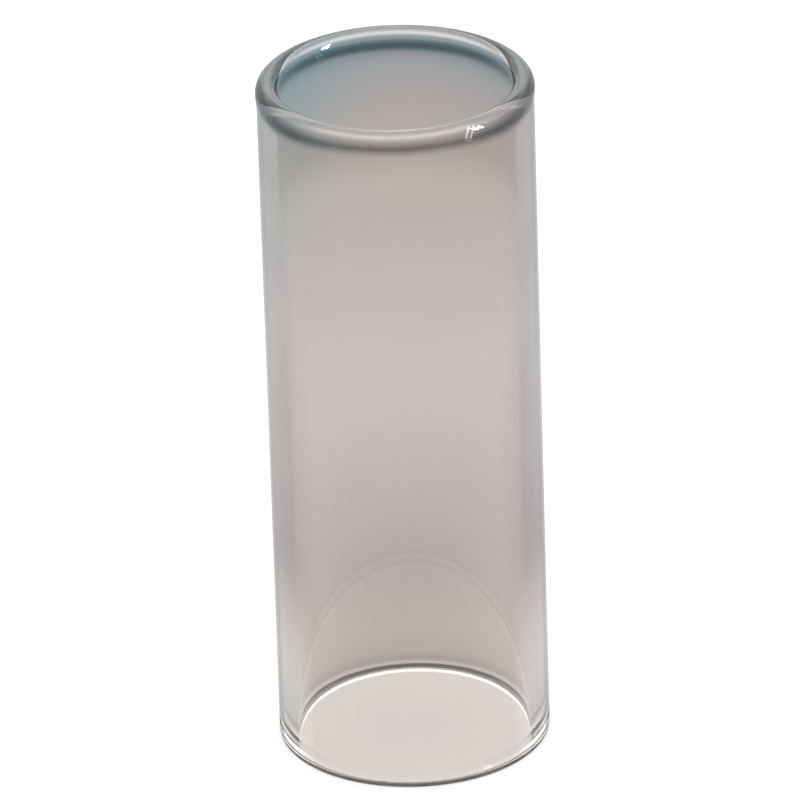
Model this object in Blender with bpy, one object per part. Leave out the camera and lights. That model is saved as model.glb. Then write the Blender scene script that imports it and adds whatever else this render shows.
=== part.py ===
"""A clear glass guitar slide: one straight tube, open at both ends.

Its top rim was melted smooth in a flame and its foot was cut square. The player's finger goes into the bore.
Metres, +Z up along the tube. The origin is the centre of the foot rim, on the surface that the slide stands
on.
"""

import math
from collections import namedtuple

import bpy

# Driving dimensions, metres.
LENGTH = 0.069
OUTER_DIAMETER = 0.0263
WALL = 0.0018

# Melting draws glass together at the top rim, so its edges stand a little proud of the wall and roll over.
# The foot rim is cut square and its edges are only just rounded, with a flat ring between them.
# swell: how far an edge stands proud of the wall. belly: how far from the rim's end it is widest.
# neck: how far from the end the swelling begins. roll: how far across the rim it curves over.
RimEdge = namedtuple("RimEdge", "swell belly neck roll")
TOP_OUTER_EDGE = RimEdge(swell=0.00010, belly=0.0012, neck=0.0024, roll=0.00108)
TOP_BORE_EDGE = RimEdge(swell=0.00030, belly=0.0012, neck=0.0023, roll=0.00108)
FOOT_OUTER_EDGE = RimEdge(swell=0.0, belly=0.0002, neck=0.0004, roll=0.00020)
FOOT_BORE_EDGE = RimEdge(swell=0.0, belly=0.00015, neck=0.0003, roll=0.00015)

# Worked out from the driving dimensions.
OUTER_RADIUS = OUTER_DIAMETER / 2
BORE_RADIUS = OUTER_RADIUS - WALL

# Which way an edge faces, out or in, and up or down.
OUTWARD = 1
INWARD = -1
UPWARD = 1
DOWNWARD = -1

# How finely the round surfaces are faceted.
TURN_STEPS = 80
NECK_STEPS = 3
ROLL_STEPS = 5
MERGE_DISTANCE = 0.00001

GLASS_COLOUR = (0.80, 0.76, 0.74, 1.0)
GLASS_ROUGHNESS = 0.03
GLASS_IOR = 1.47


def clear_scene():
    for obj in list(bpy.data.objects):
        bpy.data.objects.remove(obj)


def glass_material():
    material = bpy.data.materials.new("clear_glass")
    material.use_nodes = True
    shader = material.node_tree.nodes["Principled BSDF"]
    shader.inputs["Base Color"].default_value = GLASS_COLOUR
    shader.inputs["Metallic"].default_value = 0.0
    shader.inputs["Roughness"].default_value = GLASS_ROUGHNESS
    shader.inputs["IOR"].default_value = GLASS_IOR
    shader.inputs["Transmission Weight"].default_value = 1.0
    return material


def rim_edge(wall_radius, out, rim_z, up, edge):
    """One edge of a rim as (radius, z) points, from the wall to the rim's end: a smooth swelling, then a
    quarter of an ellipse."""
    points = []
    for i in range(NECK_STEPS):
        done = i / NECK_STEPS
        swell = edge.swell * (1 - math.cos(math.pi * done)) / 2
        depth = edge.neck + (edge.belly - edge.neck) * done
        points.append((wall_radius + out * swell, rim_z - up * depth))
    for i in range(ROLL_STEPS + 1):
        angle = math.pi / 2 * i / ROLL_STEPS
        reach = edge.swell - edge.roll * (1 - math.cos(angle))
        depth = edge.belly * (1 - math.sin(angle))
        points.append((wall_radius + out * reach, rim_z - up * depth))
    return points


def tube_section():
    """The wall's closed section: down the outer side, across the foot, up the bore and over the top rim. The
    straight walls are the long edges between the rims."""
    outer_top = rim_edge(OUTER_RADIUS, OUTWARD, LENGTH, UPWARD, TOP_OUTER_EDGE)
    outer_foot = rim_edge(OUTER_RADIUS, OUTWARD, 0.0, DOWNWARD, FOOT_OUTER_EDGE)
    bore_foot = rim_edge(BORE_RADIUS, INWARD, 0.0, DOWNWARD, FOOT_BORE_EDGE)
    bore_top = rim_edge(BORE_RADIUS, INWARD, LENGTH, UPWARD, TOP_BORE_EDGE)
    outer_side = outer_top[::-1] + outer_foot
    bore_side = bore_foot[::-1] + bore_top
    return outer_side + bore_side


def make_glass_tube():
    """The slide itself: the wall's section turned once round the Z axis."""
    section = tube_section()
    vertices = [(x, 0.0, z) for x, z in section]
    edges = [(i, (i + 1) % len(section)) for i in range(len(section))]
    mesh = bpy.data.meshes.new("glass_tube")
    mesh.from_pydata(vertices, edges, [])
    mesh.materials.append(glass_material())

    tube = bpy.data.objects.new("glass_tube", mesh)
    bpy.context.scene.collection.objects.link(tube)
    turn = tube.modifiers.new("turn", "SCREW")
    turn.axis = "Z"
    turn.angle = math.tau
    turn.steps = TURN_STEPS
    turn.render_steps = TURN_STEPS
    turn.use_merge_vertices = True
    turn.merge_threshold = MERGE_DISTANCE
    turn.use_smooth_shade = True
    return tube


clear_scene()
make_glass_tube()
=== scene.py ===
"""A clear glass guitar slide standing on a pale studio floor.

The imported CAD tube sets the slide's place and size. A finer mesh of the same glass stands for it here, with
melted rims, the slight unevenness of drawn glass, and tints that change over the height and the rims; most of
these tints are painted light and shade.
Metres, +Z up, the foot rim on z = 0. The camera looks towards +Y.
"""
import math
from collections import namedtuple

import bpy
from mathutils import Matrix, Vector


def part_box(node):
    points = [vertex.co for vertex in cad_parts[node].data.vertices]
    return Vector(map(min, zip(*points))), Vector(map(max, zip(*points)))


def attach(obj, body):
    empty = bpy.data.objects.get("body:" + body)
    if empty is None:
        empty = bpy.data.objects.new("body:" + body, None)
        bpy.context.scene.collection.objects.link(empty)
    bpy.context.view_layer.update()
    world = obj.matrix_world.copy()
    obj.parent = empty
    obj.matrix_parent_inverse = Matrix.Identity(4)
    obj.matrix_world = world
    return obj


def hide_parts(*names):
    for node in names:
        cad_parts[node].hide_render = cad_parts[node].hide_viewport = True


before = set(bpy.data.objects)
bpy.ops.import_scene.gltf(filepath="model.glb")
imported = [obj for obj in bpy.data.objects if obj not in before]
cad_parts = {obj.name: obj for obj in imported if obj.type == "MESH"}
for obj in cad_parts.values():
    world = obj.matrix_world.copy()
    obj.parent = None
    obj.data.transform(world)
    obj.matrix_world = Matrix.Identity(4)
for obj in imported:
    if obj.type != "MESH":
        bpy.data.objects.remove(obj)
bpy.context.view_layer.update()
tube_low, tube_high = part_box("glass_tube")

MM = 0.001

# Each rim has an edge towards the outside and one towards the bore.
# swell: how far an edge stands proud of the wall. belly: how far from the rim's end it is widest.
# neck: how far from the end the swelling begins. roll: how far across the rim it curves over.
RimEdge = namedtuple("RimEdge", "swell belly neck roll")
TOP_OUTER_EDGE = RimEdge(swell=0.00010, belly=0.0012, neck=0.0024, roll=0.00108)
TOP_BORE_EDGE = RimEdge(swell=0.00030, belly=0.0012, neck=0.0023, roll=0.00108)
FOOT_OUTER_EDGE = RimEdge(swell=0.0, belly=0.0002, neck=0.0004, roll=0.00020)
FOOT_BORE_EDGE = RimEdge(swell=0.0, belly=0.00015, neck=0.0003, roll=0.00015)

# The slide's size, from the CAD tube. Its box is measured over the top rim's bead.
LENGTH = tube_high.z - tube_low.z
OUTER_RADIUS = (tube_high.x - tube_low.x) / 2 - TOP_OUTER_EDGE.swell
WALL = 0.0018
BORE_RADIUS = OUTER_RADIUS - WALL


# ---------------------------------------------------------------- helpers for nodes

class Nodes:
    """Adds nodes to a tree and links them, with fewer words."""

    def __init__(self, tree):
        self.tree = tree

    def add(self, kind, **settings):
        node = self.tree.nodes.new(kind)
        for name, value in settings.items():
            setattr(node, name, value)
        return node

    def feed(self, node, socket, source):
        """Sets a socket to a plain value, or links it to another node's output."""
        if isinstance(source, bpy.types.NodeSocket):
            self.tree.links.new(source, node.inputs[socket])
        else:
            node.inputs[socket].default_value = source

    def math(self, operation, first, second):
        node = self.add("ShaderNodeMath", operation=operation)
        self.feed(node, 0, first)
        self.feed(node, 1, second)
        return node.outputs[0]

    def ramp(self, factor, stops, interpolation="EASE"):
        """A colour ramp through (position, colour) stops."""
        node = self.add("ShaderNodeValToRGB")
        node.color_ramp.interpolation = interpolation
        elements = node.color_ramp.elements
        while len(elements) > 1:
            elements.remove(elements[-1])
        elements[0].position = stops[0][0]
        elements[0].color = stops[0][1]
        for position, colour in stops[1:]:
            elements.new(position).color = colour
        self.feed(node, "Fac", factor)
        return node.outputs["Color"]

    def reach_ramp(self, distance, stops, reach):
        """A straight ramp through (distance, colour) stops, from nothing out to a reach."""
        share = self.math("DIVIDE", distance, reach)
        return self.ramp(share, [(at / reach, colour) for at, colour in stops], "LINEAR")

    def mix(self, factor, first, second, blend="MIX"):
        node = self.add("ShaderNodeMix", data_type="RGBA", blend_type=blend)
        self.feed(node, 0, factor)
        self.feed(node, 6, first)
        self.feed(node, 7, second)
        return node.outputs[2]

    def tinted(self, colour, tint):
        return self.mix(1.0, colour, tint, "MULTIPLY")

    def mix_shaders(self, factor, first, second):
        node = self.add("ShaderNodeMixShader")
        self.feed(node, 0, factor)
        self.feed(node, 1, first)
        self.feed(node, 2, second)
        return node.outputs[0]

    def noise(self, vector, scale, detail, roughness=0.5):
        node = self.add("ShaderNodeTexNoise")
        self.feed(node, "Vector", vector)
        self.feed(node, "Scale", scale)
        self.feed(node, "Detail", detail)
        self.feed(node, "Roughness", roughness)
        return node.outputs["Fac"]

    def fit(self, value, low, high, to_low=0.0, to_high=1.0):
        """A smooth step from one value to another, as the input goes from low to high."""
        node = self.add("ShaderNodeMapRange", interpolation_type="SMOOTHSTEP")
        self.feed(node, "Value", value)
        self.feed(node, "From Min", low)
        self.feed(node, "From Max", high)
        self.feed(node, "To Min", to_low)
        self.feed(node, "To Max", to_high)
        return node.outputs[0]


def grey(value):
    return (value, value, value, 1.0)


# ---------------------------------------------------------------- camera

PITCH = math.radians(26.0)
ROLL = math.radians(1.81)
CAMERA_DISTANCE = 0.9205
FRAME_WIDTH = 0.07676  # how wide the picture is at the slide's middle
AIM_RIGHT = -0.00047  # where the picture's centre falls beside the slide's middle
AIM_UP = 0.00057
SENSOR = 36.0
CLIP_NEAR = 0.01
CLIP_FAR = 20.0


def make_camera():
    forward = Vector((0, math.cos(PITCH), -math.sin(PITCH)))
    level = Vector((1, 0, 0))
    upright = level.cross(forward)
    right = level * math.cos(ROLL) - upright * math.sin(ROLL)
    up = level * math.sin(ROLL) + upright * math.cos(ROLL)
    aim = Vector((0, 0, LENGTH / 2)) + right * AIM_RIGHT + up * AIM_UP
    data = bpy.data.cameras.new("camera")
    data.sensor_width = SENSOR
    data.lens = SENSOR * CAMERA_DISTANCE / FRAME_WIDTH
    data.clip_start = CLIP_NEAR
    data.clip_end = CLIP_FAR
    camera = bpy.data.objects.new("camera", data)
    axes = Matrix((right, up, -forward)).transposed().to_4x4()
    camera.matrix_world = Matrix.Translation(aim - forward * CAMERA_DISTANCE) @ axes
    bpy.context.scene.collection.objects.link(camera)
    bpy.context.scene.camera = camera


# ---------------------------------------------------------------- studio

FLOOR_REACH = 6.0  # from the slide to the middle of each side of the square floor
FLOOR_GAP = 0.00002

FIBRE_SCALE = 900.0
FIBRE_DETAIL = 4.0
FIBRE_ROUGHNESS = 0.6
PAPER_COLOURS = (  # share of fibre, and the paper's colour there
    (0.3, (0.93, 0.925, 0.92, 1)),
    (0.7, (0.95, 0.945, 0.94, 1)),
)
PAPER_ROUGHNESS = 0.9
PAPER_GLOW = 0.6  # share of the floor's own even light, which keeps the slide's shadow faint

SWEEP_REACH = 0.4
FOOT_SWEEP_REACH = 0.03
JOIN_SWEEPS = (0.022, 0.026)  # radii over which the sweep near the foot gives way to the far one
# The dark ring from 13.6 to 14 mm is a painted contact shadow round the foot, and the dim ring from 15 to
# 15.6 mm is painted shade beside it.
FOOT_SWEEP_WITH_CONTACT_SHADOW = (  # radius from the slide's axis, and the light that the glass gets from the sweep there
    (0.0000, (0.81, 0.795, 0.785, 1)),
    (0.0090, (0.86, 0.845, 0.83, 1)),
    (0.0125, (0.86, 0.845, 0.83, 1)),
    (0.0134, (0.86, 0.85, 0.84, 1)),
    (0.0136, (0.11, 0.11, 0.11, 1)),
    (0.0140, (0.11, 0.11, 0.11, 1)),
    (0.0142, (0.84, 0.84, 0.84, 1)),
    (0.0146, (0.84, 0.84, 0.84, 1)),
    (0.0150, (0.60, 0.60, 0.60, 1)),
    (0.0156, (0.60, 0.60, 0.60, 1)),
    (0.0168, (0.71, 0.71, 0.715, 1)),
    (0.022, (0.77, 0.775, 0.785, 1)),
    (0.030, (0.735, 0.745, 0.757, 1)),
)
SWEEP = (  # the same further off
    (0.022, (0.77, 0.775, 0.785, 1)),
    (0.035, (0.71, 0.725, 0.74, 1)),
    (0.055, (0.75, 0.775, 0.80, 1)),
    (0.070, (0.83, 0.856, 0.885, 1)),
    (0.084, (0.84, 0.865, 0.89, 1)),
    (0.100, (0.775, 0.805, 0.825, 1)),
    (0.108, (0.745, 0.775, 0.795, 1)),
    (0.114, (0.725, 0.75, 0.775, 1)),
    (0.120, (0.715, 0.735, 0.755, 1)),
    (0.127, (0.755, 0.765, 0.775, 1)),
    (0.133, (0.735, 0.73, 0.73, 1)),
    (0.137, (0.72, 0.71, 0.71, 1)),
    (0.150, (0.72, 0.715, 0.715, 1)),
    (0.200, (0.75, 0.77, 0.79, 1)),
    (0.400, (0.80, 0.825, 0.85, 1)),
)


def floor_material():
    """Pale paper for the camera. The glass, and whatever it mirrors or bends, sees instead a glowing studio
    sweep with painted light and shade in rings round the slide, a painted contact shadow next to the foot
    among them, which gives clear glass its grey body and dark rims."""
    material = bpy.data.materials.new("floor_paper_and_painted_sweep")
    material.use_nodes = True
    nodes = Nodes(material.node_tree)
    paper = material.node_tree.nodes["Principled BSDF"]
    place = nodes.add("ShaderNodeTexCoord").outputs["Object"]
    fibres = nodes.noise(place, FIBRE_SCALE, FIBRE_DETAIL, FIBRE_ROUGHNESS)
    nodes.feed(paper, "Base Color", nodes.ramp(fibres, PAPER_COLOURS))
    paper.inputs["Roughness"].default_value = PAPER_ROUGHNESS
    paper.inputs["Specular IOR Level"].default_value = 0.0
    glow = nodes.add("ShaderNodeEmission")
    nodes.feed(glow, "Color", grey(1.0))
    lit_paper = nodes.mix_shaders(PAPER_GLOW, paper.outputs[0], glow.outputs[0])

    length = nodes.add("ShaderNodeVectorMath", operation="LENGTH")
    nodes.feed(length, 0, place)
    radius = length.outputs["Value"]
    near = nodes.reach_ramp(radius, FOOT_SWEEP_WITH_CONTACT_SHADOW, FOOT_SWEEP_REACH)
    far = nodes.reach_ramp(radius, SWEEP, SWEEP_REACH)
    sweep = nodes.add("ShaderNodeEmission")
    nodes.feed(sweep, "Color", nodes.mix(nodes.fit(radius, *JOIN_SWEEPS), near, far))

    by_camera = nodes.add("ShaderNodeLightPath").outputs["Is Camera Ray"]
    both = nodes.mix_shaders(by_camera, sweep.outputs[0], lit_paper)
    nodes.feed(material.node_tree.nodes["Material Output"], 0, both)
    return material


def make_floor():
    corners = ((-1, -1), (1, -1), (1, 1), (-1, 1))
    vertices = [(x * FLOOR_REACH, y * FLOOR_REACH, -FLOOR_GAP) for x, y in corners]
    mesh = bpy.data.meshes.new("floor")
    mesh.from_pydata(vertices, [], [(0, 1, 2, 3)])
    mesh.materials.append(floor_material())
    floor = bpy.data.objects.new("floor", mesh)
    bpy.context.scene.collection.objects.link(floor)


SKY = (  # upward part of the direction, and the sky's light there
    (0.00, (1.15, 1.15, 1.16, 1)),
    (0.10, (1.12, 1.12, 1.13, 1)),
    (0.25, (1.05, 1.06, 1.08, 1)),
    (0.37, (1.60, 1.60, 1.60, 1)),
    (0.42, (1.90, 1.95, 2.00, 1)),
    (0.48, (1.90, 1.95, 2.00, 1)),
    (0.54, (1.60, 1.60, 1.60, 1)),
    (1.00, (1.60, 1.60, 1.60, 1)),
)


def make_world():
    """An even soft sky, a little brighter at the height that the foot's white crescent mirrors."""
    world = bpy.data.worlds.new("studio")
    bpy.context.scene.world = world
    world.use_nodes = True
    nodes = Nodes(world.node_tree)
    direction = nodes.add("ShaderNodeTexCoord").outputs["Generated"]
    split = nodes.add("ShaderNodeSeparateXYZ")
    nodes.feed(split, 0, direction)
    nodes.feed(world.node_tree.nodes["Background"], "Color", nodes.ramp(split.outputs["Z"], SKY))


SOFTBOX_TURNS = (-23.0, -18.0)  # degrees round from +X
SOFTBOX_RISE = 0.33  # how far up for each metre out
SOFTBOX_DISTANCE = 0.6
SOFTBOX_WIDTH = 0.026
SOFTBOX_HEIGHT = 0.24
SOFTBOX_POWER = 1.6  # watts
SOFTBOX_CROSSINGS = 2.5  # goes dark for light that has passed through more surfaces of the glass than this


def softbox_glow(data):
    """Keeps the softbox to glints on and just inside a rim. Through more of the glass it goes dark, or it
    would make small stray glints on the far wall and the foot."""
    data.use_nodes = True
    nodes = Nodes(data.node_tree)
    crossed = nodes.add("ShaderNodeLightPath").outputs["Transmission Depth"]
    lit = nodes.math("LESS_THAN", crossed, SOFTBOX_CROSSINGS)
    nodes.feed(data.node_tree.nodes["Emission"], "Strength", lit)


def make_lights():
    """Two narrow upright softboxes side by side, low on the right, for the small double glints on the
    rims."""
    for turn in SOFTBOX_TURNS:
        azimuth = math.radians(turn)
        data = bpy.data.lights.new("softbox", "AREA")
        data.shape = "RECTANGLE"
        data.size = SOFTBOX_WIDTH
        data.size_y = SOFTBOX_HEIGHT
        data.energy = SOFTBOX_POWER
        softbox_glow(data)
        softbox = bpy.data.objects.new("softbox", data)
        aim = Vector((math.cos(azimuth), math.sin(azimuth), SOFTBOX_RISE)).normalized()
        softbox.location = Vector((0, 0, LENGTH)) + aim * SOFTBOX_DISTANCE
        softbox.rotation_euler = aim.to_track_quat("Z", "Y").to_euler()
        softbox.visible_diffuse = False
        bpy.context.scene.collection.objects.link(softbox)


# ---------------------------------------------------------------- the glass's shape

# Which way an edge faces, out or in, and up or down.
OUTWARD = 1
INWARD = -1
UPWARD = 1
DOWNWARD = -1

# How finely the round surfaces are faceted.
TURN_STEPS = 320
NECK_STEPS = 12
ROLL_STEPS = 24
WALL_STEPS = 60


def rim_edge(wall_radius, out, rim_z, up, edge):
    """One edge of a rim as (radius, z) points, from the wall to the rim's end: a smooth swelling, then a
    quarter of an ellipse."""
    points = []
    for i in range(NECK_STEPS):
        done = i / NECK_STEPS
        swell = edge.swell * (1 - math.cos(math.pi * done)) / 2
        depth = edge.neck + (edge.belly - edge.neck) * done
        points.append((wall_radius + out * swell, rim_z - up * depth))
    for i in range(ROLL_STEPS + 1):
        angle = math.pi / 2 * i / ROLL_STEPS
        reach = edge.swell - edge.roll * (1 - math.cos(angle))
        depth = edge.belly * (1 - math.sin(angle))
        points.append((wall_radius + out * reach, rim_z - up * depth))
    return points


def wall_line(start, end):
    """The points inside a straight wall between two rim edges."""
    radius, from_z = start
    rise = end[1] - from_z
    return [(radius, from_z + rise * (i / WALL_STEPS)) for i in range(1, WALL_STEPS)]


def tube_section():
    """The wall's closed section: down the outer side, across the foot, up the bore and over the top rim."""
    outer_top = rim_edge(OUTER_RADIUS, OUTWARD, LENGTH, UPWARD, TOP_OUTER_EDGE)[::-1]
    outer_foot = rim_edge(OUTER_RADIUS, OUTWARD, 0.0, DOWNWARD, FOOT_OUTER_EDGE)
    bore_foot = rim_edge(BORE_RADIUS, INWARD, 0.0, DOWNWARD, FOOT_BORE_EDGE)[::-1]
    bore_top = rim_edge(BORE_RADIUS, INWARD, LENGTH, UPWARD, TOP_BORE_EDGE)
    outer_side = outer_top + wall_line(outer_top[-1], outer_foot[0]) + outer_foot
    bore_side = bore_foot + wall_line(bore_foot[-1], bore_top[0]) + bore_top
    return outer_side + bore_side


def make_glass():
    """The section turned once round the Z axis."""
    section = tube_section()
    count = len(section)
    vertices = []
    faces = []
    for i in range(TURN_STEPS):
        angle = math.tau * i / TURN_STEPS
        vertices += [(r * math.cos(angle), r * math.sin(angle), z) for r, z in section]
        here = i * count
        there = (i + 1) % TURN_STEPS * count
        for k in range(count):
            after = (k + 1) % count
            faces.append((here + k, here + after, there + after, there + k))
    mesh = bpy.data.meshes.new("slide_glass")
    mesh.from_pydata(vertices, [], faces)
    mesh.shade_smooth()
    mesh.materials.append(glass_material())
    glass = bpy.data.objects.new("slide_glass", mesh)
    bpy.context.scene.collection.objects.link(glass)
    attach(glass, "root")
    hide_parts("glass_tube")


# ---------------------------------------------------------------- the glass's look

GLASS_IOR = 1.47
EDGE_COLOUR = (0.30, 0.41, 0.417, 1.0)  # glass seen along its length is darker and a little blue-green
EDGE_DENSITY = 20.0
WALL_TINT = (0.719, 0.621, 0.573, 1.0)  # the wall's warm grey, on its outer surface
SURFACE_MARGIN = 0.2 * WALL  # how near a side of the wall the glass wholly counts as bore or as outside

# The slight unevenness of drawn glass. A stretched noise runs along the tube.
CLOUD_SCALE = 60.0
CLOUD_DETAIL = 3.0
CLOUD_SPAN = (0.3, 0.7)
CLOUD_LIFT = 1.03  # how much paler the clouds are
DRAW_LINE_SCALE = 1400.0
DRAW_LINE_STRETCH = (1.0, 1.0, 0.03)
DRAW_LINE_DETAIL = 3.0
DRAW_LINE_ROUGHNESS = 0.6
DRAW_LINE_SPAN = (0.35, 0.65)
DRAW_LINE_TINT = grey(0.985)
RIPPLE_SCALE = 350.0
RIPPLE_STRETCH = (1.0, 1.0, 0.06)
RIPPLE_DETAIL = 1.0
RIPPLE_HEIGHT = 0.006 * MM
SMUDGE_SCALE = 260.0
SMUDGE_DETAIL = 4.0
SMUDGE_GRAIN = 0.65
SMUDGE_SPAN = (0.60, 0.80)
SMUDGE_ROUGHNESS = 0.05

# How far the surface turns from the eye, from 0 to 1, and the tint there of the tube's sides. It is painted
# shade towards the edges, partly also the deeper blue-green of glass seen along a longer path, and near the
# foot painted light to either side with painted shade at the very edges.
SIDES_HIGH_UP_SHADE = (
    (0.44, (1.00, 1.00, 1.00, 1)),
    (0.54, (0.83, 0.91, 0.94, 1)),
    (0.72, (0.76, 0.87, 0.92, 1)),
    (0.78, (0.43, 0.52, 0.55, 1)),
    (1.0, (0.22, 0.28, 0.31, 1)),
)
SIDES_HALFWAY_UP_SHADE = (
    (0.34, grey(1.0)),
    (0.48, grey(0.79)),
    (0.54, grey(0.56)),
    (0.72, grey(0.55)),
    (0.78, grey(0.36)),
    (1.0, grey(0.22)),
)
SIDES_NEAR_FOOT_LIGHT_AND_SHADE = (
    (0.40, grey(1.0)),
    (0.54, grey(1.50)),
    (0.74, grey(1.60)),
    (0.80, grey(0.78)),
    (1.0, grey(0.42)),
)
LEAVING_NEAR_FOOT_SHADOW = (  # the same for light that leaves the glass: a painted shadow in the middle just above the foot
    (0.04, grey(0.74)),
    (0.07, grey(0.80)),
    (0.14, grey(1.0)),
)
FOOT_TO_HALFWAY = (11 * MM, 23 * MM)  # heights over which one of these gives way to the next
HALFWAY_TO_HIGH_UP = (36 * MM, 50 * MM)
SIDES_BELOW_RIM = (1.6 * MM, 2.8 * MM)  # depths below the top rim's end over which they set in

# The painted blue-green cast of cool light: where it starts and where it is full.
PAINTED_COOL_CAST = (0.63, 0.98, 1.07, 1.0)
CAST_LEFTWARD = (0.1 * OUTER_RADIUS, -0.9 * OUTER_RADIUS)
CAST_UPWARD = (47 * MM, 65 * MM)
CAST_BACKWARD = (-0.3 * OUTER_RADIUS, 0.2 * OUTER_RADIUS)
CAST_IN_FRONT = 0.2  # share of the cast that the front wall keeps

FOOT_CONTACT_SHADOW = (0.01, 0.01, 0.01, 1.0)
FOOT_LINE_DOWNWARD = (0.60 * MM, 0.45 * MM)  # heights where the foot's dark line, a painted contact shadow, starts and is full

# Depth below the top rim's end in mm, and the tint there of the outer surface and of the bore. On the outer
# surface that is a painted highlight along the rim's crest over painted dark bands; on the bore, painted dark
# blue-green bands and painted shade that fades out down the bore.
OUTER_BANDS_DEPTH = 3.0
OUTER_RIM_HIGHLIGHT_AND_SHADE = (
    (0.0, (0.50, 0.50, 0.50, 1)),
    (0.1, (0.62, 0.62, 0.62, 1)),
    (0.3, (1.25, 1.25, 1.25, 1)),
    (0.40, (1.25, 1.25, 1.25, 1)),
    (0.55, (0.90, 0.90, 0.90, 1)),
    (1.0, (0.45, 0.44, 0.43, 1)),
    (1.3, (0.20, 0.19, 0.18, 1)),
    (1.5, (0.125, 0.115, 0.11, 1)),
    (1.8, (0.42, 0.42, 0.42, 1)),
    (2.15, (0.91, 0.91, 0.91, 1)),
    (2.3, (1.0, 1.0, 1.0, 1)),
)
BORE_BANDS_DEPTH = 20.0
BORE_PAINTED_SHADE = (
    (0.0, (0.42, 0.43, 0.45, 1)),
    (0.18, (0.46, 0.47, 0.49, 1)),
    (0.30, (1.00, 1.00, 1.00, 1)),
    (0.40, (1.00, 1.00, 1.00, 1)),
    (0.51, (0.39, 0.48, 0.55, 1)),
    (0.60, (0.18, 0.25, 0.30, 1)),
    (0.9, (0.12, 0.235, 0.31, 1)),
    (1.0, (0.046, 0.113, 0.153, 1)),
    (1.2, (0.016, 0.044, 0.065, 1)),
    (1.4, (0.004, 0.016, 0.021, 1)),
    (1.8, (0.004, 0.012, 0.014, 1)),
    (2.0, (0.018, 0.046, 0.048, 1)),
    (2.2, (0.07, 0.124, 0.135, 1)),
    (2.4, (0.19, 0.23, 0.25, 1)),
    (3.0, (0.25, 0.36, 0.40, 1)),
    (3.8, (0.34, 0.41, 0.44, 1)),
    (6.4, (0.43, 0.445, 0.465, 1)),
    (8.5, (0.515, 0.485, 0.465, 1)),
    (11.0, (0.59, 0.56, 0.54, 1)),
    (13.0, (0.76, 0.75, 0.74, 1)),
    (16.0, (0.94, 0.94, 0.94, 1)),
    (18.5, (1.0, 1.0, 1.0, 1)),
)

# How far the surface turns from the eye, and the tint there of the top rim's left and right cheeks: painted
# shade.
RIM_CHEEK_SHADE = (
    (0.18, (1.00, 1.00, 1.00, 1)),
    (0.30, (0.48, 0.52, 0.54, 1)),
    (0.45, (0.13, 0.18, 0.20, 1)),
    (1.0, (0.05, 0.08, 0.09, 1)),
)
LEAVING_CHEEK_SHADE = (  # the same for light that leaves the glass
    (0.16, grey(1.0)),
    (0.24, grey(0.45)),
    (0.32, grey(0.15)),
)
CHEEKS_START = (0.08 * MM, 0.25 * MM)  # depths over which the cheeks' tint comes in
CHEEKS_END = (2.8 * MM, 1.8 * MM)  # and goes out again, from the lower depth up


class GlassPlace:
    """Where a point of the glass is, as node outputs."""

    def __init__(self, nodes):
        self.point = nodes.add("ShaderNodeTexCoord").outputs["Object"]
        split = nodes.add("ShaderNodeSeparateXYZ")
        nodes.feed(split, 0, self.point)
        self.x = split.outputs["X"]
        self.y = split.outputs["Y"]
        self.height = split.outputs["Z"]
        self.depth = nodes.math("SUBTRACT", LENGTH, self.height)
        flat = nodes.add("ShaderNodeCombineXYZ")
        nodes.feed(flat, "X", self.x)
        nodes.feed(flat, "Y", self.y)
        length = nodes.add("ShaderNodeVectorMath", operation="LENGTH")
        nodes.feed(length, 0, flat.outputs[0])
        radius = length.outputs["Value"]
        self.outside = nodes.fit(radius, BORE_RADIUS + SURFACE_MARGIN, OUTER_RADIUS - SURFACE_MARGIN)
        leaving = nodes.add("ShaderNodeNewGeometry").outputs["Backfacing"]
        self.entering = nodes.math("SUBTRACT", 1.0, leaving)

    def stretched(self, nodes, scale):
        """The point with its coordinates scaled one by one."""
        node = nodes.add("ShaderNodeVectorMath", operation="MULTIPLY")
        nodes.feed(node, 0, self.point)
        nodes.feed(node, 1, scale)
        return node.outputs[0]


def painted_side_light_and_shade(nodes, place):
    """The painted shade and light of the tube's sides, which change over its height."""
    facing = nodes.add("ShaderNodeLayerWeight").outputs["Facing"]
    halfway = nodes.ramp(facing, SIDES_HALFWAY_UP_SHADE, "LINEAR")
    leaving = nodes.ramp(facing, LEAVING_NEAR_FOOT_SHADOW, "LINEAR")
    entering = nodes.ramp(facing, SIDES_NEAR_FOOT_LIGHT_AND_SHADE, "LINEAR")
    near_foot = nodes.mix(place.entering, leaving, entering)
    high_up = nodes.ramp(facing, SIDES_HIGH_UP_SHADE, "LINEAR")
    lower = nodes.mix(nodes.fit(place.height, *FOOT_TO_HALFWAY), near_foot, halfway)
    return nodes.mix(nodes.fit(place.height, *HALFWAY_TO_HIGH_UP), lower, high_up)


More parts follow.
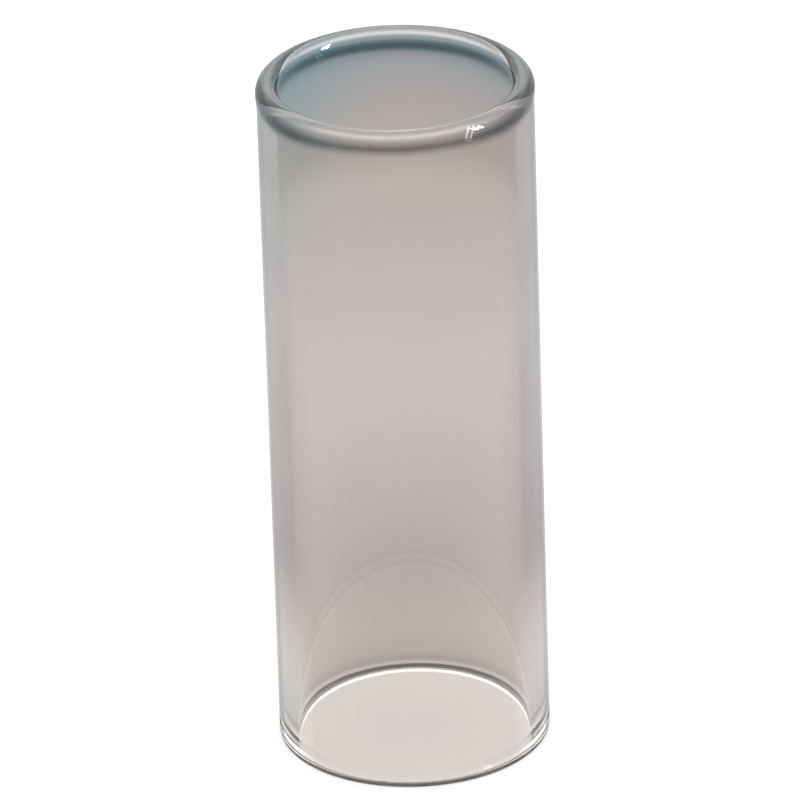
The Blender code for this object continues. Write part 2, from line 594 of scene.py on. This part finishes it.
def wall_colour(nodes, place):
    """The outer surface's tint: nearly even, with soft clouds and faint draw lines, painted shade and light
    on the sides, a painted blue-green cast of cool light and a painted contact shadow for the foot's dark
    line."""
    clouds = nodes.noise(place.point, CLOUD_SCALE, CLOUD_DETAIL)
    paler = tuple(channel * CLOUD_LIFT for channel in WALL_TINT)
    wall = nodes.mix(nodes.fit(clouds, *CLOUD_SPAN), WALL_TINT, paler)
    along = place.stretched(nodes, DRAW_LINE_STRETCH)
    lines = nodes.noise(along, DRAW_LINE_SCALE, DRAW_LINE_DETAIL, DRAW_LINE_ROUGHNESS)
    wall = nodes.mix(nodes.fit(lines, *DRAW_LINE_SPAN), wall, nodes.tinted(wall, DRAW_LINE_TINT))

    # Painted shade on the tube's sides, with painted light beside the foot and a painted shadow in its
    # middle.
    sides = painted_side_light_and_shade(nodes, place)
    wall = nodes.mix(nodes.fit(place.depth, *SIDES_BELOW_RIM), wall, nodes.tinted(wall, sides))

    # A painted blue-green cast of cool light, at the top of the left side and mostly at the back.
    left = nodes.fit(place.x, *CAST_LEFTWARD)
    high_left = nodes.math("MULTIPLY", left, nodes.fit(place.height, *CAST_UPWARD))
    behind = nodes.fit(place.y, *CAST_BACKWARD, CAST_IN_FRONT, 1.0)
    wall = nodes.mix(nodes.math("MULTIPLY", high_left, behind), wall, PAINTED_COOL_CAST, "MULTIPLY")

    # A painted contact shadow: light that enters at the foot's rounded edge is nearly stopped.
    foot = nodes.math("MULTIPLY", nodes.fit(place.height, *FOOT_LINE_DOWNWARD), place.entering)
    return nodes.mix(foot, wall, FOOT_CONTACT_SHADOW)


def painted_rim_rings(nodes, place, stops, depth):
    """Rings of painted light and shade round the top rim, through (depth below its end in mm, tint) stops."""
    step = nodes.math("DIVIDE", place.depth, depth * MM)
    return nodes.ramp(step, [(mm / depth, tint) for mm, tint in stops], "LINEAR")


def rim_light_and_shade(nodes, place):
    """The painted highlight and shade in rings and on the cheeks of the top rim's outer surface. Light that
    leaves the glass takes no ring's tint, and its own for the cheeks."""
    rings = painted_rim_rings(nodes, place, OUTER_RIM_HIGHLIGHT_AND_SHADE, OUTER_BANDS_DEPTH)
    facing = nodes.add("ShaderNodeLayerWeight").outputs["Facing"]
    # Painted shade on the rim's left and right cheeks.
    cheeks = nodes.tinted(rings, nodes.ramp(facing, RIM_CHEEK_SHADE, "LINEAR"))
    started = nodes.fit(place.depth, *CHEEKS_START)
    beside = nodes.math("MULTIPLY", started, nodes.fit(place.depth, *CHEEKS_END))
    leaving = nodes.mix(beside, grey(1.0), nodes.ramp(facing, LEAVING_CHEEK_SHADE, "LINEAR"))
    return nodes.mix(place.entering, leaving, nodes.mix(beside, rings, cheeks))


def glass_material():
    material = bpy.data.materials.new("clear_glass")
    material.use_nodes = True
    nodes = Nodes(material.node_tree)
    shader = material.node_tree.nodes["Principled BSDF"]
    place = GlassPlace(nodes)
    rings = rim_light_and_shade(nodes, place)
    outer = nodes.tinted(wall_colour(nodes, place), rings)
    # Painted dark rings and shade on the bore, for light that enters there.
    bore = nodes.mix(place.entering, grey(1.0), painted_rim_rings(nodes, place, BORE_PAINTED_SHADE, BORE_BANDS_DEPTH))
    nodes.feed(shader, "Base Color", nodes.mix(place.outside, bore, outer))

    # Long shallow ripples along the tube, and a dull fingerprint here and there.
    ripples = nodes.noise(place.stretched(nodes, RIPPLE_STRETCH), RIPPLE_SCALE, RIPPLE_DETAIL)
    bump = nodes.add("ShaderNodeBump")
    nodes.feed(bump, "Strength", 1.0)
    nodes.feed(bump, "Distance", RIPPLE_HEIGHT)
    nodes.feed(bump, "Height", ripples)
    nodes.feed(shader, "Normal", bump.outputs[0])
    smudges = nodes.noise(place.point, SMUDGE_SCALE, SMUDGE_DETAIL, SMUDGE_GRAIN)
    nodes.feed(shader, "Roughness", nodes.fit(smudges, *SMUDGE_SPAN, 0.0, SMUDGE_ROUGHNESS))

    shader.inputs["IOR"].default_value = GLASS_IOR
    shader.inputs["Transmission Weight"].default_value = 1.0
    absorb = nodes.add("ShaderNodeVolumeAbsorption")
    absorb.inputs["Color"].default_value = EDGE_COLOUR
    absorb.inputs["Density"].default_value = EDGE_DENSITY
    nodes.feed(material.node_tree.nodes["Material Output"], "Volume", absorb.outputs[0])
    return material


# ---------------------------------------------------------------- the picture

BOUNCES = 128  # enough for light that runs round inside the rims

make_camera()
make_floor()
make_world()
make_lights()
make_glass()
bpy.context.scene.view_settings.view_transform = "Standard"
bpy.context.scene.cycles.max_bounces = BOUNCES
bpy.context.scene.cycles.transmission_bounces = BOUNCES
bpy.context.scene.cycles.glossy_bounces = BOUNCES
